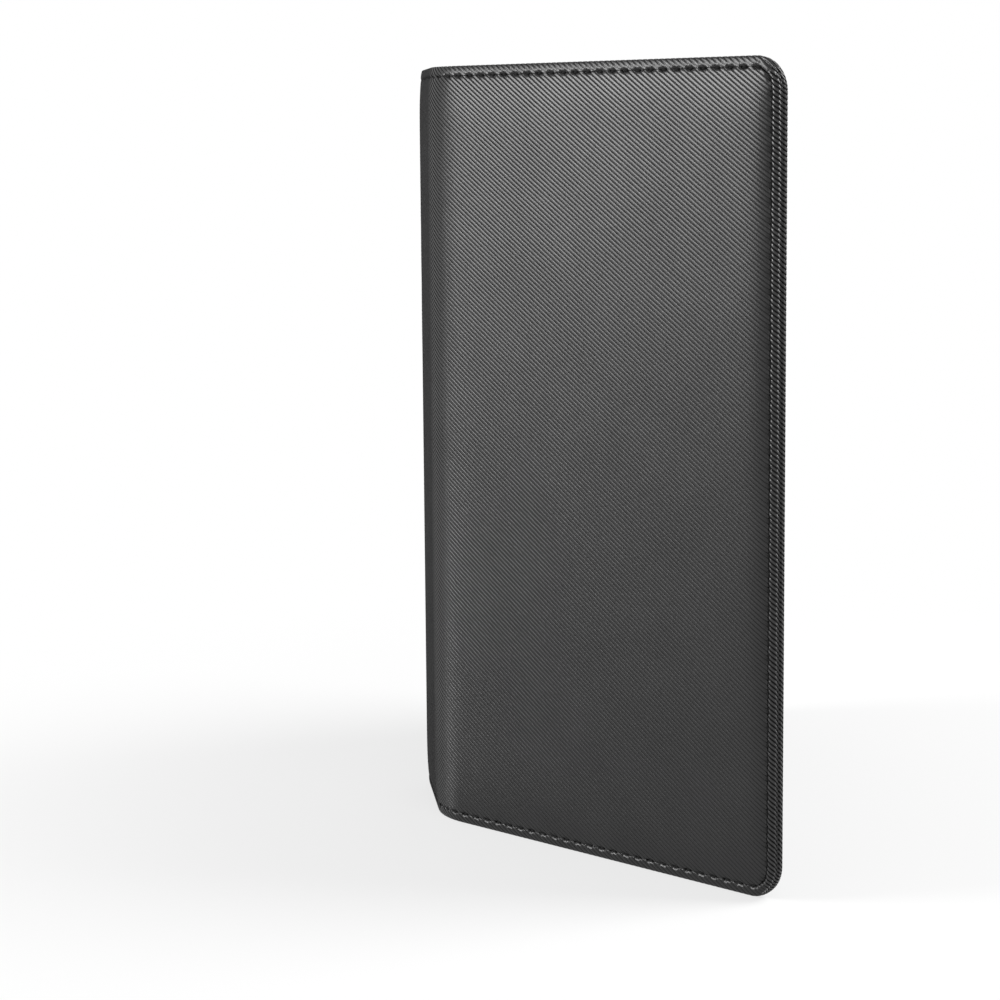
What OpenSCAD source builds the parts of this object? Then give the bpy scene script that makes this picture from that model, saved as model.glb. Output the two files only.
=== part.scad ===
/* [Cover] */
// Height of the holder, along the spine
cover_h = 145; // [120:1:220]
// Width of one stiff cover, from its bend to the free edge
cover_w = 79; // [64:0.5:120]
// Corner radius at the free edge
corner_r = 8; // [5:0.5:12]

/* [Spine] */
// Flat width across the middle of the soft spine
spine_w = 20.4; // [14:0.2:40]
// Length of the soft bend beside each cover
bend_len = 11; // [8:0.2:18]
// Turn of the front bend as the holder stands open, in degrees
front_turn = 38.8; // [25:0.2:60]
// Turn from the front cover round to the back cover as it stands open, in degrees
whole_turn = 90; // [70:1:90]
// Gap between pieces that move against each other
fold_gap = 0.3; // [0.2:0.05:0.8]

/* [Layers] */
// Outer skin thickness
skin_t = 0.7; // [0.5:0.05:1.2]
// Thickness of the stiffener boards, and of the soft backing in the spine
board_t = 0.9; // [0.6:0.05:1.6]
// Gap between the board's edge and the skin turned round it
board_clear = 0.1; // [0.05:0.05:0.4]
// Thickness of the skin's thinned edge where it is turned in
turn_t = 0.5; // [0.3:0.05:0.8]
// Width of the turned-in edge
turn_w = 8; // [5:0.5:12]
// Lining thickness
lining_t = 0.4; // [0.3:0.05:0.8]
// Distance of the lining's edge from the cover's edge
lining_inset = 1.2; // [0.8:0.1:2]

/* [Padding] */
// Height of the padded face above the stitched edge
pad_rise = 1.2; // [0.6:0.1:2.5]
// Width of the slope from the stitched edge up to the padded face
pad_slope = 3.7; // [2:0.1:6]

/* [Stitching] */
// Distance of the stitch line from the edge
stitch_inset = 2; // [1.6:0.1:3.5]
// Distance from the stitch line to the foot of the padding
stitch_margin = 0.6; // [0.4:0.1:1.5]
// Length from one stitch to the next
stitch_pitch = 3.2; // [2.6:0.1:5]
// Length of thread that shows in each stitch
stitch_len = 2.3; // [1.5:0.1:2.5]
// Width of the thread
thread_w = 0.5; // [0.3:0.05:0.7]
// Height of the thread above the surface
thread_h = 0.3; // [0.2:0.05:0.5]

/* [Pockets] */
// Pocket panel thickness
panel_t = 0.6; // [0.4:0.05:1]
// Slack between a pocket panel and the layer behind it
pocket_gap = 0.3; // [0.2:0.05:0.6]
// Distance from the bend to the mouth of the cash and ticket pockets
tall_mouth_x = 5; // [3:0.5:10]
// Distance from the bend to the closed inner seam of the card pockets
card_seam_x = 16; // [12:0.5:20]
// Distance of the card pockets from the cover's free and bottom edges
card_inset = 4; // [3:0.5:6]
// Distance from the cover's top edge down to the highest card pocket's mouth
card_drop = 27; // [20:1:35]
// Step down from one card pocket's mouth to the next
card_step = 13; // [9:0.5:16]
// Distance from the bend to the mouth of the passport pocket
passport_mouth_x = 18; // [12:0.5:24]
// Radius of the thumb cut-out in the passport pocket
thumb_r = 13; // [8:0.5:18]

/* [Hidden] */

$fn = 64;
// Smallest corner radius on an inset outline
least_r = 0.8;
// Overshoot of a cut past the face it opens
cut = 1;
// Thickness of the thin plates that a pad is hulled from
hull_plate = 0.02;
hull_fn = 32;

// Depths, inwards from the face of the stitched edge
board_y = skin_t;
turn_y = board_y + board_t;
lining_y = turn_y + turn_t;
inner_y = lining_y + lining_t;
function panel_y(layer) = inner_y + pocket_gap + layer * (panel_t + pocket_gap);

hem_w = stitch_inset + stitch_margin;

// Bends in plan: radius of the outer face, and reach from a bend's end to its fold axis
back_turn = whole_turn - front_turn;
front_r = bend_len * 180 / (PI * front_turn);
back_r = bend_len * 180 / (PI * back_turn);
front_reach = front_r * tan(front_turn / 2);
back_reach = back_r * tan(back_turn / 2);

// Plan places, from the front cover's bend end; the front cover runs along +X and its inside faces +Y
spine_dir = [-cos(front_turn), sin(front_turn)];
back_dir = [-cos(whole_turn), sin(whole_turn)];
front_axis = [-front_reach, 0];
mid_at = front_axis + (front_reach + spine_w / 2) * spine_dir;
back_axis = mid_at + (spine_w / 2 + back_reach) * spine_dir;
back_at = back_axis + back_reach * back_dir;
back_edge = back_at + cover_w * back_dir;

// Centre of the whole plan, which becomes the origin
back_out = [-sin(whole_turn), -cos(whole_turn)];
low_x = min(back_at[0], back_edge[0]) + pad_rise * back_out[0];
high_y = back_edge[1];
centre = [(low_x + cover_w) / 2, (high_y - pad_rise) / 2];

// Stitch path on a cover: along the bottom, round a corner and up to half the free edge
seam_r = corner_r - stitch_inset;
seam_run = cover_w - corner_r;
seam_arc = seam_r * PI / 2;
seam_rise = cover_h - 2 * corner_r;
seam_len = 2 * seam_run + 2 * seam_arc + seam_rise;
function seam_corner(d) = d * 180 / (PI * seam_r);
function half_seam(d) =
    d < seam_run ? [d, stitch_inset, 0] :
    d < seam_run + seam_arc ?
        let (a = seam_corner(d - seam_run))
        [seam_run + seam_r * sin(a), corner_r - seam_r * cos(a), a] :
    [cover_w - stitch_inset, corner_r + d - seam_run - seam_arc, 90];
function upper_seam(p) = [p[0], cover_h - p[1], -p[2]];
function seam(d) = d <= seam_len / 2 ? half_seam(d) : upper_seam(half_seam(seam_len - d));
function stitch_count(len) = floor(len / stitch_pitch);

function card_mouth(layer) = cover_h - card_drop - layer * card_step;

skin_colour = [0.2, 0.2, 0.2];
foam_colour = [0.75, 0.72, 0.6];
board_colour = [0.45, 0.4, 0.34];
lining_colour = [0.12, 0.12, 0.13];
panel_colour = [0.16, 0.16, 0.17];
thread_colour = [0.05, 0.05, 0.05];

// Frames of the four moving parts: x runs away from the spine's middle, y inwards, z up
module front_frame() {
    translate([-centre[0], -centre[1], 0]) children();
}

module back_frame() {
    translate([back_at[0] - centre[0], back_at[1] - centre[1], 0])
        rotate([0, 0, 180 - whole_turn])
            mirror([0, 1, 0])
                children();
}

module spine_front_frame() {
    translate([mid_at[0] - centre[0], mid_at[1] - centre[1], 0])
        rotate([0, 0, -front_turn])
            children();
}

module spine_back_frame() {
    translate([mid_at[0] - centre[0], mid_at[1] - centre[1], 0])
        rotate([0, 0, -front_turn])
            mirror([1, 0, 0])
                children();
}

// Cover outline in x and z, rounded at the free edge
module cover_outline(inset, from_x) {
    r = max(corner_r - inset, least_r);
    high_x = cover_w - inset;
    translate([from_x, inset])
        square([high_x - r - from_x, cover_h - 2 * inset]);
    translate([from_x, inset + r])
        square([high_x - from_x, cover_h - 2 * inset - 2 * r]);
    for (z = [inset + r, cover_h - inset - r])
        translate([high_x - r, z])
            circle(r);
}

// Stands an outline in x and z up as a plate from depth y0 to y1
module plate(y0, y1) {
    translate([0, y1, 0])
        rotate([90, 0, 0])
            linear_extrude(y1 - y0)
                children();
}

module pad() {
    hull() {
        plate(-hull_plate, 0) cover_outline(hem_w, 0, $fn = hull_fn);
        plate(-pad_rise, hull_plate - pad_rise)
            cover_outline(hem_w + pad_slope, pad_slope, $fn = hull_fn);
    }
}

// Skin wrapped round the board's edge and turned in, with the padded face raised on it
module cover_skin() {
    difference() {
        union() {
            plate(0, lining_y) cover_outline(0, 0);
            pad();
        }
        translate([0, skin_t, 0]) pad();
        plate(board_y, turn_y) cover_outline(skin_t, -cut);
        plate(board_y + board_t / 2, lining_y + cut) cover_outline(turn_w, -cut);
    }
}

module cover_foam() {
    translate([0, skin_t, 0]) pad();
}

module cover_board() {
    plate(board_y, turn_y) cover_outline(skin_t + board_clear, board_clear);
}

module cover_lining() {
    plate(lining_y, inner_y) cover_outline(lining_inset, 0);
}

module stitch(place, y) {
    translate([place[0], y, place[1]])
        rotate([0, -place[2], 0])
            translate([-stitch_len / 2, 0, -thread_w / 2])
                cube([stitch_len, thread_h, thread_w]);
}

module cover_stitches() {
    count = stitch_count(seam_len);
    for (i = [0 : count - 1])
        stitch(seam((i + 0.5) * seam_len / count), -thread_h);
}

// A straight row of stitches between two places on a panel's inner face
module stitch_row(start, end, y) {
    run = end - start;
    count = stitch_count(norm(run));
    angle = atan2(run[1], run[0]);
    for (i = [0 : count - 1]) {
        p = start + run * (i + 0.5) / count;
        stitch([p[0], p[1], angle], y);
    }
}

// Section of the skin in the spine: outer face, turned-over ends and turned-in edges, depth along +X
module spine_section() {
    difference() {
        square([lining_y, cover_h]);
        translate([board_y, skin_t]) square([board_t, cover_h - 2 * skin_t]);
        translate([board_y + board_t / 2, turn_w]) square([lining_y, cover_h - 2 * turn_w]);
    }
}

module backing_section() {
    end = skin_t + board_clear;
    translate([board_y, end]) square([board_t, cover_h - 2 * end]);
}

module lining_section() {
    translate([lining_y, lining_inset]) square([lining_t, cover_h - 2 * lining_inset]);
}

// Runs a section straight along the spine half
module along_spine() {
    from_x = fold_gap / 2;
    translate([from_x, 0, 0])
        rotate([90, 0, 90])
            linear_extrude(spine_w / 2 - from_x)
                children();
}

// Runs a section round a bend that ends where the cover begins
module round_bend(r, turn) {
    gap_angle = fold_gap * 180 / (PI * r);
    translate([0, r, 0])
        rotate([0, 0, -90 - turn])
            rotate_extrude(angle = turn - gap_angle)
                translate([r, 0])
                    mirror([1, 0])
                        children();
}

module spine_stitches() {
    run = spine_w / 2 - fold_gap / 2;
    count = stitch_count(run);
    for (i = [0 : count - 1])
        for (z = [stitch_inset, cover_h - stitch_inset])
            stitch([fold_gap / 2 + (i + 0.5) * run / count, z, 0], -thread_h);
}

module bend_stitches(r, turn) {
    count = stitch_count(bend_len);
    for (i = [0 : count - 1])
        for (z = [stitch_inset, cover_h - stitch_inset])
            translate([0, r, 0])
                rotate([0, 0, -(i + 0.5) * turn / count])
                    stitch([0, z, 0], -r - thread_h);
}

module pocket_panel(layer, from_x) {
    y = panel_y(layer);
    plate(y, y + panel_t) cover_outline(lining_inset, from_x);
}

module card_pocket(layer) {
    y = panel_y(layer);
    plate(y, y + panel_t)
        intersection() {
            cover_outline(card_inset, card_seam_x);
            square([cover_w, card_mouth(layer - 1)]);
        }
}

module passport_panel() {
    y = panel_y(1);
    plate(y, y + panel_t)
        difference() {
            cover_outline(lining_inset, passport_mouth_x);
            translate([passport_mouth_x, cover_h / 2]) circle(thumb_r);
        }
}

module tall_mouth_row() {
    x = tall_mouth_x + stitch_inset;
    stitch_row([x, hem_w], [x, cover_h - hem_w], panel_y(0) + panel_t);
}

module front_outer_skin() {
    color(skin_colour) front_frame() cover_skin();
}

module front_foam_pad() {
    color(foam_colour) front_frame() cover_foam();
}

module front_board() {
    color(board_colour) front_frame() cover_board();
}

module front_lining() {
    color(lining_colour) front_frame() cover_lining();
}

module front_edge_stitches() {
    color(thread_colour) front_frame() cover_stitches();
}

module cash_pocket_panel() {
    color(panel_colour) front_frame() pocket_panel(0, tall_mouth_x);
}

module card_pocket_rear() {
    color(panel_colour) front_frame() card_pocket(1);
}

module card_pocket_middle() {
    color(panel_colour) front_frame() card_pocket(2);
}

module card_pocket_near() {
    color(panel_colour) front_frame() card_pocket(3);
}

// The cash pocket's mouth row, and each card pocket's mouth row and the two seams below it
module front_pocket_stitches() {
    near_x = card_seam_x + stitch_inset;
    far_x = cover_w - card_inset - stitch_inset;
    low_z = card_inset + stitch_inset;
    corner = corner_r - card_inset;
    color(thread_colour)
        front_frame() {
            tall_mouth_row();
            for (layer = [1 : 3]) {
                y = panel_y(layer) + panel_t;
                top = card_mouth(layer - 1) - stitch_inset;
                low = layer < 3 ? card_mouth(layer) + hem_w : low_z + corner;
                stitch_row([near_x, top], [far_x, top], y);
                for (x = [near_x, far_x])
                    stitch_row([x, low], [x, top - hem_w], y);
            }
            stitch_row([near_x, low_z], [far_x - corner, low_z], panel_y(3) + panel_t);
        }
}

module front_bend_skin() {
    color(skin_colour) front_frame() round_bend(front_r, front_turn) spine_section();
}

module front_bend_backing() {
    color(foam_colour) front_frame() round_bend(front_r, front_turn) backing_section();
}

module front_bend_lining() {
    color(lining_colour) front_frame() round_bend(front_r, front_turn) lining_section();
}

module front_bend_stitches() {
    color(thread_colour) front_frame() bend_stitches(front_r, front_turn);
}

module spine_front_skin() {
    color(skin_colour) spine_front_frame() along_spine() spine_section();
}

module spine_front_backing() {
    color(foam_colour) spine_front_frame() along_spine() backing_section();
}

module spine_front_lining() {
    color(lining_colour) spine_front_frame() along_spine() lining_section();
}

module spine_front_stitches() {
    color(thread_colour) spine_front_frame() spine_stitches();
}

module spine_back_skin() {
    color(skin_colour) spine_back_frame() along_spine() spine_section();
}

module spine_back_backing() {
    color(foam_colour) spine_back_frame() along_spine() backing_section();
}

module spine_back_lining() {
    color(lining_colour) spine_back_frame() along_spine() lining_section();
}

module spine_back_stitches() {
    color(thread_colour) spine_back_frame() spine_stitches();
}

module back_bend_skin() {
    color(skin_colour) back_frame() round_bend(back_r, back_turn) spine_section();
}

module back_bend_backing() {
    color(foam_colour) back_frame() round_bend(back_r, back_turn) backing_section();
}

module back_bend_lining() {
    color(lining_colour) back_frame() round_bend(back_r, back_turn) lining_section();
}

module back_bend_stitches() {
    color(thread_colour) back_frame() bend_stitches(back_r, back_turn);
}

module back_outer_skin() {
    color(skin_colour) back_frame() cover_skin();
}

module back_foam_pad() {
    color(foam_colour) back_frame() cover_foam();
}

module back_board() {
    color(board_colour) back_frame() cover_board();
}

module back_lining() {
    color(lining_colour) back_frame() cover_lining();
}

module back_edge_stitches() {
    color(thread_colour) back_frame() cover_stitches();
}

module ticket_pocket_panel() {
    color(panel_colour) back_frame() pocket_panel(0, tall_mouth_x);
}

module passport_pocket_panel() {
    color(panel_colour) back_frame() passport_panel();
}

// The ticket pocket's mouth row, and the passport pocket's row above and below the thumb cut-out
module back_pocket_stitches() {
    x = passport_mouth_x + stitch_inset;
    y = panel_y(1) + panel_t;
    clear = thumb_r + stitch_inset;
    color(thread_colour)
        back_frame() {
            tall_mouth_row();
            stitch_row([x, hem_w], [x, cover_h / 2 - clear], y);
            stitch_row([x, cover_h / 2 + clear], [x, cover_h - hem_w], y);
        }
}

front_outer_skin();
front_foam_pad();
front_board();
front_lining();
front_edge_stitches();
cash_pocket_panel();
card_pocket_rear();
card_pocket_middle();
card_pocket_near();
front_pocket_stitches();
front_bend_skin();
front_bend_backing();
front_bend_lining();
front_bend_stitches();
spine_front_skin();
spine_front_backing();
spine_front_lining();
spine_front_stitches();
spine_back_skin();
spine_back_backing();
spine_back_lining();
spine_back_stitches();
back_bend_skin();
back_bend_backing();
back_bend_lining();
back_bend_stitches();
back_outer_skin();
back_foam_pad();
back_board();
back_lining();
back_edge_stitches();
ticket_pocket_panel();
passport_pocket_panel();
back_pocket_stitches();
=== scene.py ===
import math

import bmesh
import bpy
import numpy as np
from mathutils import Matrix, Vector


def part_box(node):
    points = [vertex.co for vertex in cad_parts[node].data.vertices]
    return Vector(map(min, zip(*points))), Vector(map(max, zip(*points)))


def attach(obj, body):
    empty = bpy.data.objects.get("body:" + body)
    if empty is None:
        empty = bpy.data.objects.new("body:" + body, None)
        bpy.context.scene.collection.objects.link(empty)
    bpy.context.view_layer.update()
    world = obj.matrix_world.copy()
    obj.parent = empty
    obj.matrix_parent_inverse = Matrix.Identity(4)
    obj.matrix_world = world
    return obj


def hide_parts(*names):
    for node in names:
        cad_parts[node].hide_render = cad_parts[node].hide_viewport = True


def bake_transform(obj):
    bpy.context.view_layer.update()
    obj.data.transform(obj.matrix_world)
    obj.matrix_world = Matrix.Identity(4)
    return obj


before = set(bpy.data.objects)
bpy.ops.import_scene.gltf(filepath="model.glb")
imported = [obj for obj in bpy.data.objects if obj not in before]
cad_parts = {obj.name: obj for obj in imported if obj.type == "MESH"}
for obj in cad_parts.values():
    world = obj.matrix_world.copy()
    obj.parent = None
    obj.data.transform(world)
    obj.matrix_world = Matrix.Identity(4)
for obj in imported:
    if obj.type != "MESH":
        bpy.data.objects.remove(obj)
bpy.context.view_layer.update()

mm = 0.001
hair = 1e-6  # mm; places closer than this are the same
clothScale = 100.0  # mm of cloth to one step of its UV map
scene = bpy.context.scene
scene.view_settings.view_transform = "Standard"
print("stage: frame loaded")

# The holder lies flat in u (run from the spine's middle, + to the front cover, in mm) and z;
# h is the height outwards from the face of the stitched edge. place() folds that to its open stance.
# A side is 1 for the front, -1 for the back and 0 for the strip down the spine's middle.
coverSides = (("front", 1), ("back", -1))
allSides = coverSides + (("spine", 0),)
frontLow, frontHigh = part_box("front_outer_skin")
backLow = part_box("back_outer_skin")[0]
holder = dict(
    height=(frontHigh.z - frontLow.z) / mm,
    coverWidth=(frontHigh.x - frontLow.x) / mm - 0.35,  # to the roll's crown
    solidRise=1.2,  # of the CAD's pad, which sets where the edge's face lies
    padRise=0.42,
    spineRise=0.35,
    riseRuns=(17.0, 29.0),  # the spine's rise changes to the pad's between these runs
    padSlope=4.2,  # reach of the fall to the seam at top and bottom
    sideSlope=2.2,  # and at the free edge
    crown=0.12,
    spineHalf=10.2,
    bendLength=11.0,
    frontTurn=38.8,
    backTurn=51.2,
    cornerRadius=6.2,
    skinDepth=0.6,  # underside of the padded skin
)
tall = holder["height"]
coverStart = holder["spineHalf"] + holder["bendLength"]
freeEdge = coverStart + holder["coverWidth"]
frontEnd = (frontLow.x / mm, frontLow.y / mm + holder["solidRise"])
backEnd = (backLow.x / mm + holder["solidRise"], backLow.y / mm)

seam = dict(
    edgeInset=1.9,
    freeInset=2.5,
    corner=3.6,
    pitch=3.0,
    grooveDepth=0.04,
    grooveWidth=0.28,
    stitchPress=0.36,
    pitRuns=(1.0, 0.5),  # a stitch's pit ends and is full at these distances from its middle
)
seamFar = freeEdge - seam["freeInset"]
seamRun = seamFar - seam["corner"]
seamArc = seam["corner"] * math.pi / 2
seamLength = 2 * (seamRun + seamArc) + tall - 2 * (seam["edgeInset"] + seam["corner"])
stitchCount = round(seamLength / seam["pitch"])
stitchPitch = seamLength / stitchCount
splitAt = 2 * stitchPitch  # the skin is cut here, between two stitches on the flat of the spine

ribs = dict(
    across=0.772,  # ribs to the mm along u
    up=1.18,  # and along z
    flatness=5.6,
    height=0.16,
    spineHeight=0.17,
    rolledHeight=0.19,
    heightRuns=(13.0, 24.0),  # the spine's height changes to the cover's between these runs
)
ribPhases = np.array([0.0, 0.09, 0.19, 0.32, 0.68, 0.81, 0.91])  # rows of points across one rib
ribNormal = np.array([ribs["across"], ribs["up"]])


def smoothStep(low, high, x):
    t = np.clip((x - low) / (high - low), 0, 1)
    return t * t * (3 - 2 * t)


def planAt(u):
    # x and y of the edge's face, and the way outwards from it
    u = np.asarray(u, float)
    front = u >= 0
    v = np.abs(u)
    turn = np.radians(np.where(front, holder["frontTurn"], holder["backTurn"]))
    radius = holder["bendLength"] / turn
    angle = np.clip((coverStart - v) / holder["bendLength"], 0, 1) * turn
    flat = np.maximum(holder["spineHalf"] - v, 0)
    along = np.maximum(v - coverStart, 0) - radius * np.sin(angle) - flat * np.cos(turn)
    inward = radius * (1 - np.cos(angle)) + flat * np.sin(turn)
    outAlong, outIn = -np.sin(angle), -np.cos(angle)
    x = np.where(front, frontEnd[0] + along, backEnd[0] + inward)
    y = np.where(front, frontEnd[1] + inward, backEnd[1] + along)
    return x, y, np.where(front, outAlong, outIn), np.where(front, outIn, outAlong)


def place(u, z, h):
    x, y, outX, outY = planAt(u)
    return np.stack([x + outX * h, y + outY * h, z + 0 * h], -1) * mm


def spotAt(u):
    x, y = planAt(u)[:2]
    return (float(x) * mm, float(y) * mm, tall / 2 * mm)


def ribProfile(phase):
    return 1 - np.abs(2 * np.mod(phase, 1) - 1) ** ribs["flatness"]


def ribHeight(u, full):
    return ribs["spineHeight"] + (full - ribs["spineHeight"]) * smoothStep(*ribs["heightRuns"], np.abs(u))


def seamPlace(v, z):
    # distance inside the stitch line, and the run along it from the spine's middle at the bottom
    low, corner = seam["edgeInset"], seam["corner"]
    up = np.minimum(z, tall - z) - low
    left = seamFar - v
    atCorner = (left < corner) & (up < corner)
    dv, dz = corner - left, corner - up
    inside = np.where(atCorner, corner - np.hypot(dv, dz), np.minimum(up, left))
    angle = np.arctan2(np.maximum(dv, 0), np.maximum(dz, 1e-9))
    side = seamRun + seamArc + up - corner
    run = np.where(atCorner, seamRun + corner * angle, np.where(up < left, v, side))
    return inside, np.where(z > tall / 2, seamLength - run, run)


def seamPoint(run):
    # v, z and heading of a place on the stitch line
    low, corner = seam["edgeInset"], seam["corner"]
    back = run > seamLength / 2
    r = np.where(back, seamLength - run, run)
    angle = np.clip((r - seamRun) / corner, 0, math.pi / 2)
    v = np.minimum(r, seamRun) + corner * np.sin(angle)
    z = low + corner * (1 - np.cos(angle)) + np.maximum(r - seamRun - seamArc, 0)
    return v, np.where(back, tall - z, z), np.where(back, math.pi - angle, angle)


def stitchDip(inside, run):
    off = np.abs(np.mod(run / stitchPitch, 1) - 0.5) * stitchPitch
    deep = seam["grooveDepth"] + seam["stitchPress"] * smoothStep(*seam["pitRuns"], off)
    return -deep * np.exp(-((inside / seam["grooveWidth"]) ** 2))


def padHeight(u, z):
    v = np.abs(u)
    inside, run = seamPlace(v, z)
    soft = smoothStep(*holder["riseRuns"], v)
    rise = holder["spineRise"] + (holder["padRise"] - holder["spineRise"]) * soft
    up = np.minimum(z, tall - z) - seam["edgeInset"]
    swell = np.tanh(up / holder["padSlope"]) * np.tanh((seamFar - v) / holder["sideSlope"])
    crown = holder["crown"] * soft * (1 - (2 * z / tall - 1) ** 2)
    return (rise + crown) * swell + stitchDip(inside, run)


def addMesh(name, points, faces, material, flat=None, cut=None, smooth=True):
    # flat gives each point's place on the cloth; edges between cut points are shaded sharp
    mesh = bpy.data.meshes.new(name)
    mesh.from_pydata(points.reshape(-1, 3).tolist(), [], faces)
    if flat is not None:
        layer = mesh.uv_layers.new(name="fabric")
        corners = np.zeros(len(mesh.loops), np.int32)
        mesh.loops.foreach_get("vertex_index", corners)
        layer.data.foreach_set("uv", (flat.reshape(-1, 2)[corners] / clothScale).ravel().astype(np.float32))
    if cut is not None:
        ends = np.zeros(2 * len(mesh.edges), np.int32)
        mesh.edges.foreach_get("vertices", ends)
        mesh.edges.foreach_set("use_edge_sharp", cut.ravel()[ends].reshape(-1, 2).all(1))
    mesh.polygons.foreach_set("use_smooth", [smooth] * len(mesh.polygons))
    work = bmesh.new()
    work.from_mesh(mesh)
    bmesh.ops.remove_doubles(work, verts=work.verts, dist=1e-7)
    work.to_mesh(mesh)
    work.free()
    mesh.validate()
    mesh.materials.append(material)
    obj = bpy.data.objects.new(name, mesh)
    scene.collection.objects.link(obj)
    return obj


def ringFaces(rings, size, capped=True):
    # quads between rings of points that run round in the same order
    first = np.arange(rings - 1)[:, None] * size
    here = np.arange(size)[None, :]
    ahead = (here + 1) % size
    second = first + size
    quads = np.stack([first + here, first + ahead, second + ahead, second + here], -1)
    faces = quads.reshape(-1, 4).tolist()
    if capped:
        faces.append(list(range(size))[::-1])
        faces.append([(rings - 1) * size + k for k in range(size)])
    return faces


def turned(points, faces):
    # the same faces, wound to look outwards
    p = points.reshape(-1, 3)
    quads = np.array([f for f in faces if len(f) == 4])
    a, b, c, d = (p[quads[:, k]] for k in range(4))
    total = (a * np.cross(b, c)).sum() + (a * np.cross(c, d)).sum()
    return faces if total > 0 else [f[::-1] for f in faces]


print("stage: flat pattern worked out, %d stitches a side" % stitchCount)


# Shader helpers
class Sock:
    def __init__(self, tree, socket):
        self.tree, self.socket = tree, socket

    def maths(self, operation, first, second=None):
        sockets = {0: first} if second is None else {0: first, 1: second}
        return self.tree.node("ShaderNodeMath", dict(operation=operation), sockets)

    def __add__(self, other):
        return self.maths("ADD", self, other)

    def __radd__(self, other):
        return self.maths("ADD", other, self)

    def __sub__(self, other):
        return self.maths("SUBTRACT", self, other)

    def __rsub__(self, other):
        return self.maths("SUBTRACT", other, self)

    def __mul__(self, other):
        return self.maths("MULTIPLY", self, other)

    def __rmul__(self, other):
        return self.maths("MULTIPLY", other, self)

    def __pow__(self, other):
        return self.maths("POWER", self, other)

    def __rpow__(self, other):
        return self.maths("POWER", other, self)

    def __abs__(self):
        return self.maths("ABSOLUTE", self)

    def fract(self):
        return self.maths("FRACT", self)

    def sine(self):
        return self.maths("SINE", self)

    def out(self, key):
        return Sock(self.tree, self.socket.node.outputs[key])


class Finish:
    def __init__(self, owner):
        self.owner = owner
        owner.use_nodes = True
        self.nodes, self.links = owner.node_tree.nodes, owner.node_tree.links
        self.nodes.clear()

    def node(self, kind, settings=None, sockets=None, out=0):
        made = self.nodes.new(kind)
        for key, value in (settings or {}).items():
            setattr(made, key, value)
        for key, value in (sockets or {}).items():
            if isinstance(value, Sock):
                self.links.new(value.socket, made.inputs[key])
            else:
                made.inputs[key].default_value = value
        return Sock(self, made.outputs[out] if made.outputs else None)

    def mix(self, factor, first, second):
        # 6, 7 and 2 are the node's colour sockets
        settings = dict(data_type="RGBA", clamp_factor=True)
        return self.node("ShaderNodeMix", settings, {0: factor, 6: first, 7: second}, 2)

    def noise(self, vector, scale, detail, space="2D"):
        sockets = {"Vector": vector, "Scale": scale, "Detail": detail}
        return self.node("ShaderNodeTexNoise", dict(noise_dimensions=space), sockets)

    def ramp(self, value, low, high, first=0.0, last=1.0, soft=True):
        # first up to low, last from high on
        settings = dict(interpolation_type="SMOOTHSTEP" if soft else "LINEAR")
        sockets = {"Value": value, "From Min": low, "From Max": high, "To Min": first, "To Max": last}
        return self.node("ShaderNodeMapRange", settings, sockets)

    def seen(self):
        # 1 for rays that show the background: camera, glossy and transmission
        rays = self.node("ShaderNodeLightPath", out="Is Camera Ray")
        mirrored = rays.maths("MAXIMUM", rays, rays.out("Is Glossy Ray"))
        return rays.maths("MAXIMUM", mirrored, rays.out("Is Transmission Ray"))

    def surface(self, shader, kind="ShaderNodeOutputMaterial"):
        self.node(kind, None, {"Surface": shader})
        return self.owner

    def cloth(self, look, colour, rough, height, more=None):
        # closes a finish: look gives its bump and specular, more any other sockets
        bump = {"Strength": look["bump"], "Distance": look["bumpDepth"], "Height": height}
        sockets = {"Base Color": colour, "Roughness": rough, "Specular IOR Level": look["specular"]}
        sockets["Normal"] = self.node("ShaderNodeBump", None, bump)
        sockets.update(more or {})
        return self.surface(self.node("ShaderNodeBsdfPrincipled", None, sockets))


def newFinish(name):
    return Finish(bpy.data.materials.new(name))


def grey(value, tint=(1.0, 1.0, 1.0)):
    return (value * tint[0], value * tint[1], value * tint[2], 1.0)


def clothRun(finish):
    # the cloth's map, and u and z of the flat pattern in mm
    uv = finish.node("ShaderNodeUVMap", dict(uv_map="fabric"))
    split = finish.node("ShaderNodeSeparateXYZ", None, {0: uv})
    return uv, split * clothScale, split.out(1) * clothScale


skinLook = dict(
    # groove is the crest colour darkened to paint shade into the rib hollows
    groove=0.002,
    crest=0.014,
    tint=(1.0, 0.985, 1.0),
    roughness=0.6,
    specular=0.01,
    bump=0.15,
    bumpDepth=0.00003,
    coat=0.62,
    spineCoat=0.1,  # rubbed duller where it flexes
    coatRuns=(8.0, 15.0),  # the spine's coat changes to the cover's between these runs
    spineCrest=0.24,  # half width of the coated crest, as a share of half the pitch
    faceCrest=0.82,
    crestRuns=(9.0, 20.0),
    crestBlur=0.25,
    rimCoat=1.0,  # past the stitches at the free edge
    rimCrest=0.5,
    rimBlur=0.3,
    grooveCoat=0.5,  # share left in the grooves at the free edge, none at the spine
    grooveRuns=(12.0, 90.0),
    coatRoughness=0.3,
    threadAcross=1.27,  # cross threads to the mm along u
    threadUp=-1.25,  # and along z
    grain=420.0,
    cloud=9.0,
)


# coated crests over bare grooves; the grooves' colour is darkened as painted shade
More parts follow.
